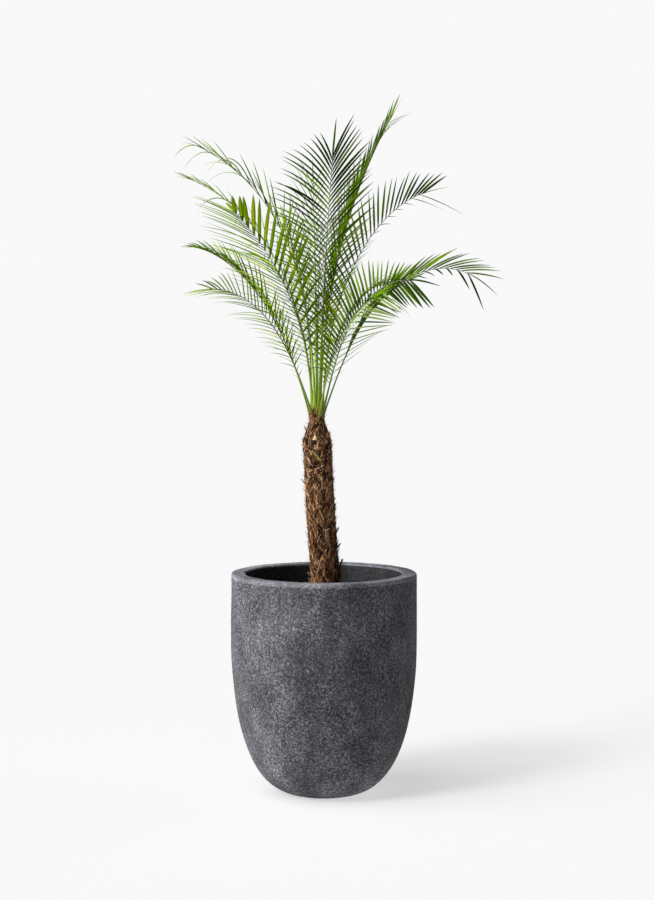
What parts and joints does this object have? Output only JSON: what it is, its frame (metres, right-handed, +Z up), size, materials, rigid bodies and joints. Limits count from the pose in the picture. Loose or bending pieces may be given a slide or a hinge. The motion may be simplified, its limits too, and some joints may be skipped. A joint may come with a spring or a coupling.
{
  "type": "pygmy date palm in a planter",
  "caption": "Young palm with arching feather-shaped fronds on a fibrous trunk, standing in a tall round charcoal planter that narrows to a small flat foot.",
  "frame": {"origin": "middle of the planter's flat underside", "axes": "+Z up along the planter's axis, -Y towards the side from which the plant is seen, +X to that viewer's right"},
  "size_m": [0.6929, 0.6436, 1.4432],
  "materials": {
    "clay": "matt charcoal fibre clay with fine pale speckles and clouding",
    "soil": "dark crumbly potting soil",
    "bark": "reddish brown fibres and old leaf bases with tan edges",
    "young_leaf": "pale green unopened frond, slightly glossy",
    "leaf": "mid to dark green leaflets with a slight sheen, some olive or yellow green"
  },
  "bodies": {
    "root": {"pot": "clay", "soil": "soil", "trunk": "bark", "spear": "young_leaf", "frond_upright_front": "leaf", "frond_olive_front": "leaf", "frond_upright_back": "leaf", "frond_high_right": "leaf", "frond_high_left": "leaf", "frond_broad_left": "leaf", "frond_far_left": "leaf", "frond_mid_right": "leaf", "frond_side_left": "leaf", "frond_low_left": "leaf", "frond_long_right": "leaf", "frond_brushy_right": "leaf", "frond_low_right": "leaf", "frond_back_left": "leaf", "frond_back_middle": "leaf", "frond_back_right": "leaf"}
  },
  "joints": []
}
